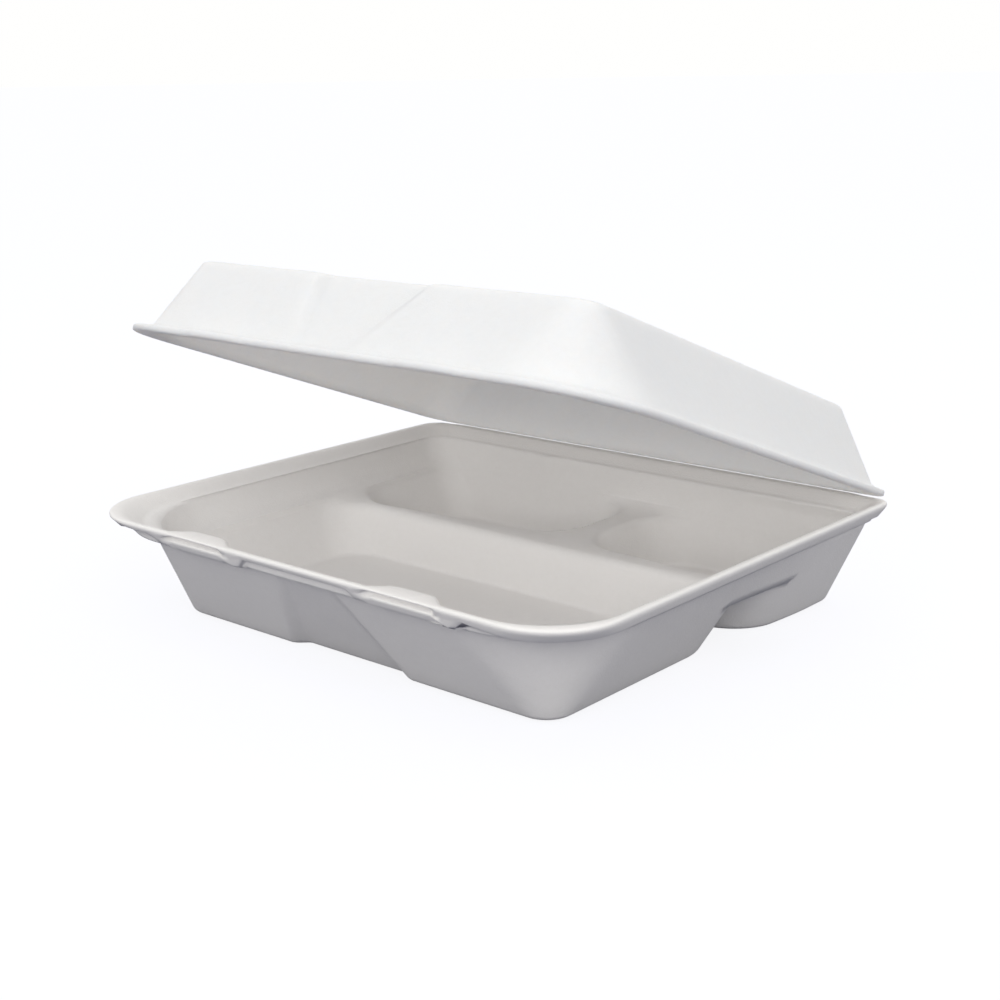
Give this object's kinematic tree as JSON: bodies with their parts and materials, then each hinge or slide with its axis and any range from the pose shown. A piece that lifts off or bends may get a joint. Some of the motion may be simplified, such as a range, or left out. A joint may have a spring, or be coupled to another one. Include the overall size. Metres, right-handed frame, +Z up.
{
  "type": "foam clamshell container",
  "caption": "Takeaway food container of moulded foam: a compartment tray and a lid joined along one folded edge.",
  "frame": {"origin": "centre of the flat underside that the tray rests on, midway between the sides and between the front edge and the hinge crease", "axes": "+X along the front edge to the right, +Y from the front edge to the hinge, +Z up"},
  "size_m": [0.235, 0.2112, 0.1356],
  "materials": {
    "foam": "matt"
  },
  "bodies": {
    "tray": {"tray": "foam"},
    "lid": {"lid": "foam"}
  },
  "joints": [
    {"name": "lid_hinge", "type": "hinge", "parent": "tray", "child": "lid", "pos_m": [0, 0.1025, 0.0419], "axis": [-1, 0, 0], "range_deg": [-20.2, 159.8]}
  ]
}
